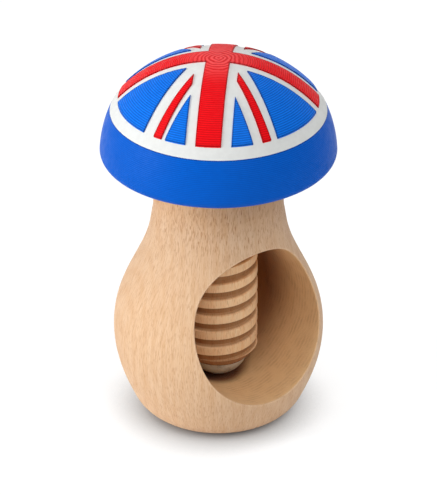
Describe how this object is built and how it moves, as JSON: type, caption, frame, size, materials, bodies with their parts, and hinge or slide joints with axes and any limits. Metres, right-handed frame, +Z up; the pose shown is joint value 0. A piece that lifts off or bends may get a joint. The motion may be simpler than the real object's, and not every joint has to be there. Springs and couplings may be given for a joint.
{
  "type": "screw nutcracker",
  "caption": "Turned beech nutcracker: a domed flag-pattern cap turns a wooden screw that presses a nut in the side chamber.",
  "frame": {"origin": "centre of the flat round foot, on the surface it stands on", "axes": "+Z up along the screw's axis; the nut chamber opens towards -Y; +X to its right"},
  "size_m": [0.08, 0.08, 0.1329],
  "materials": {
    "beech_body": "fine-sanded bare beech, grain upright",
    "beech_screw": "bare beech, turned and threaded",
    "steel_tip": "dull grey pressed steel",
    "steel_nail": "drawn steel wire",
    "blue_rim": "satin blue, very fine level tool lines",
    "white_dome": "satin white, smooth",
    "red_field": "satin red with fine round tool grooves",
    "blue_field": "satin blue with fine round tool grooves"
  },
  "bodies": {
    "body": {"turned_body": "beech_body"},
    "screw_lift": {"steel_tip": "steel_tip", "tip_nail": "steel_nail"},
    "screw_and_cap": {"screw_spindle": "beech_screw", "cap_rim": "blue_rim", "cap_dome": "white_dome", "red_cross": "red_field", "red_diagonal_front_right": "red_field", "red_diagonal_front_left": "red_field", "red_diagonal_back_left": "red_field", "red_diagonal_back_right": "red_field", "blue_wide_panel_front_right": "blue_field", "blue_wide_panel_front_left": "blue_field", "blue_wide_panel_back_left": "blue_field", "blue_wide_panel_back_right": "blue_field", "blue_narrow_panel_front_right": "blue_field", "blue_narrow_panel_front_left": "blue_field", "blue_narrow_panel_back_left": "blue_field", "blue_narrow_panel_back_right": "blue_field"}
  },
  "joints": [
    {"name": "screw_travel", "type": "slide", "parent": "body", "child": "screw_lift", "axis": [0, 0, 1], "range_m": [0, 0.04612]},
    {"name": "cap_turn", "type": "hinge", "parent": "screw_lift", "child": "screw_and_cap", "pos_m": [0, 0, 0.06], "axis": [0, 0, 1], "range_deg": [0, 2699.5]}
  ],
  "couplings": [
    {"joint": "screw_travel", "follows": "cap_turn", "m_per_rad": 0.0009788}
  ]
}
